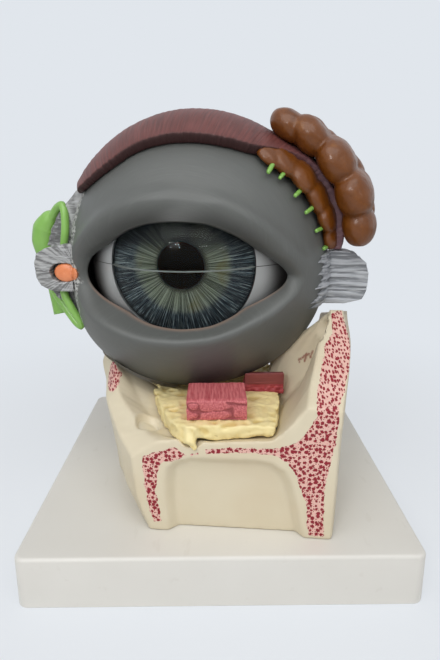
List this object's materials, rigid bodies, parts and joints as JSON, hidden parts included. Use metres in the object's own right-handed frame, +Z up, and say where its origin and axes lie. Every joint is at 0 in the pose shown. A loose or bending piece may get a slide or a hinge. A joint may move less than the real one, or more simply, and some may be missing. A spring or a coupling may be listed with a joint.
{
  "type": "eye anatomy model",
  "caption": "Take-apart classroom model of an eye in its bony orbit on a base, with eyelids and tear ducts that pull off and nested shells that lift apart.",
  "frame": {"origin": "centre of the underside of the base", "axes": "+X to the right of someone facing the eye, +Y back into the orbit, +Z up"},
  "size_m": [0.1905, 0.1852, 0.2173],
  "materials": {
    "base_white": "satin off-white moulding",
    "screw_steel": "plain steel",
    "bone": "satin cream paint, pink and dark red sponge on the sawn face",
    "fat": "satin pale yellow, wrinkled",
    "muscle": "satin pink-red with fine fibres",
    "sclera": "satin off-white",
    "clear_window": "clear polished",
    "choroid": "dark brown with vessels",
    "retina": "orange with red vessels",
    "iris": "grey-green with dark blue rim and pale streaks",
    "ciliary": "dark brown, folded",
    "nerve": "satin pale yellow",
    "lens_clear": "clear polished",
    "vitreous": "clear polished",
    "lid_grey": "satin mid-grey paint with faint brush lines",
    "levator": "satin red-brown with fine fibres",
    "gland": "glossy orange-brown",
    "duct_green": "glossy light green",
    "ligament": "light grey, dry-brushed ridges",
    "caruncle": "orange"
  },
  "bodies": {
    "root": {"base_plate": "base_white", "base_cover": "base_white", "cover_screws": "screw_steel", "bone_screws": "screw_steel", "orbital_bone": "bone", "orbital_fat": "fat", "inferior_muscle_block": "muscle", "lateral_muscle_strip": "muscle"},
    "eyeball": {"sclera_lower": "sclera", "cornea_lower": "clear_window", "choroid_lower": "choroid", "retina_lower": "retina", "iris_lower": "iris", "ciliary_ring_lower": "ciliary", "optic_nerve": "nerve", "medial_rectus": "muscle", "lateral_rectus": "muscle", "inferior_rectus": "muscle", "seam_pins": "screw_steel"},
    "upper_coat": {"sclera_upper": "sclera", "cornea_upper": "clear_window", "superior_rectus": "muscle", "superior_oblique": "muscle"},
    "upper_choroid": {"choroid_upper": "choroid", "retina_upper": "retina", "iris_upper": "iris", "ciliary_ring_upper": "ciliary"},
    "vitreous": {"vitreous_body": "vitreous"},
    "lens": {"lens": "lens_clear"},
    "lids": {"eyelid_shell": "lid_grey", "levator_muscle": "levator", "lacrimal_gland_orbital": "gland", "lacrimal_gland_palpebral": "gland", "gland_ducts": "duct_green", "lateral_ligament": "ligament", "medial_ligament": "ligament", "caruncle": "caruncle", "lacrimal_sac": "duct_green", "nasolacrimal_duct": "duct_green", "upper_canaliculus": "duct_green", "lower_canaliculus": "duct_green"}
  },
  "joints": [
    {"name": "eyeball_lift", "type": "slide", "parent": "root", "child": "eyeball", "axis": [0, 0, 1], "range_m": [0, 0.12]},
    {"name": "eyelid_pull", "type": "slide", "parent": "eyeball", "child": "lids", "axis": [-0.1205, -0.8576, 0.5], "range_m": [0, 0.25]},
    {"name": "upper_coat_lift", "type": "slide", "parent": "eyeball", "child": "upper_coat", "axis": [0, 0, 1], "range_m": [0, 0.17]},
    {"name": "upper_choroid_lift", "type": "slide", "parent": "eyeball", "child": "upper_choroid", "axis": [0, 0, 1], "range_m": [0, 0.13]},
    {"name": "vitreous_lift", "type": "slide", "parent": "eyeball", "child": "vitreous", "axis": [0, 0, 1], "range_m": [0, 0.065]},
    {"name": "lens_part", "type": "slide", "parent": "vitreous", "child": "lens", "axis": [-0.1087, -0.7733, 0.6247], "range_m": [0, 0.017]}
  ],
  "couplings": [
    {"joint": "upper_coat_lift", "follows": "eyelid_pull", "ratio": 0.66},
    {"joint": "upper_choroid_lift", "follows": "eyelid_pull", "ratio": 0.5},
    {"joint": "vitreous_lift", "follows": "eyelid_pull", "ratio": 0.24},
    {"joint": "lens_part", "follows": "eyelid_pull", "ratio": 0.06403}
  ]
}
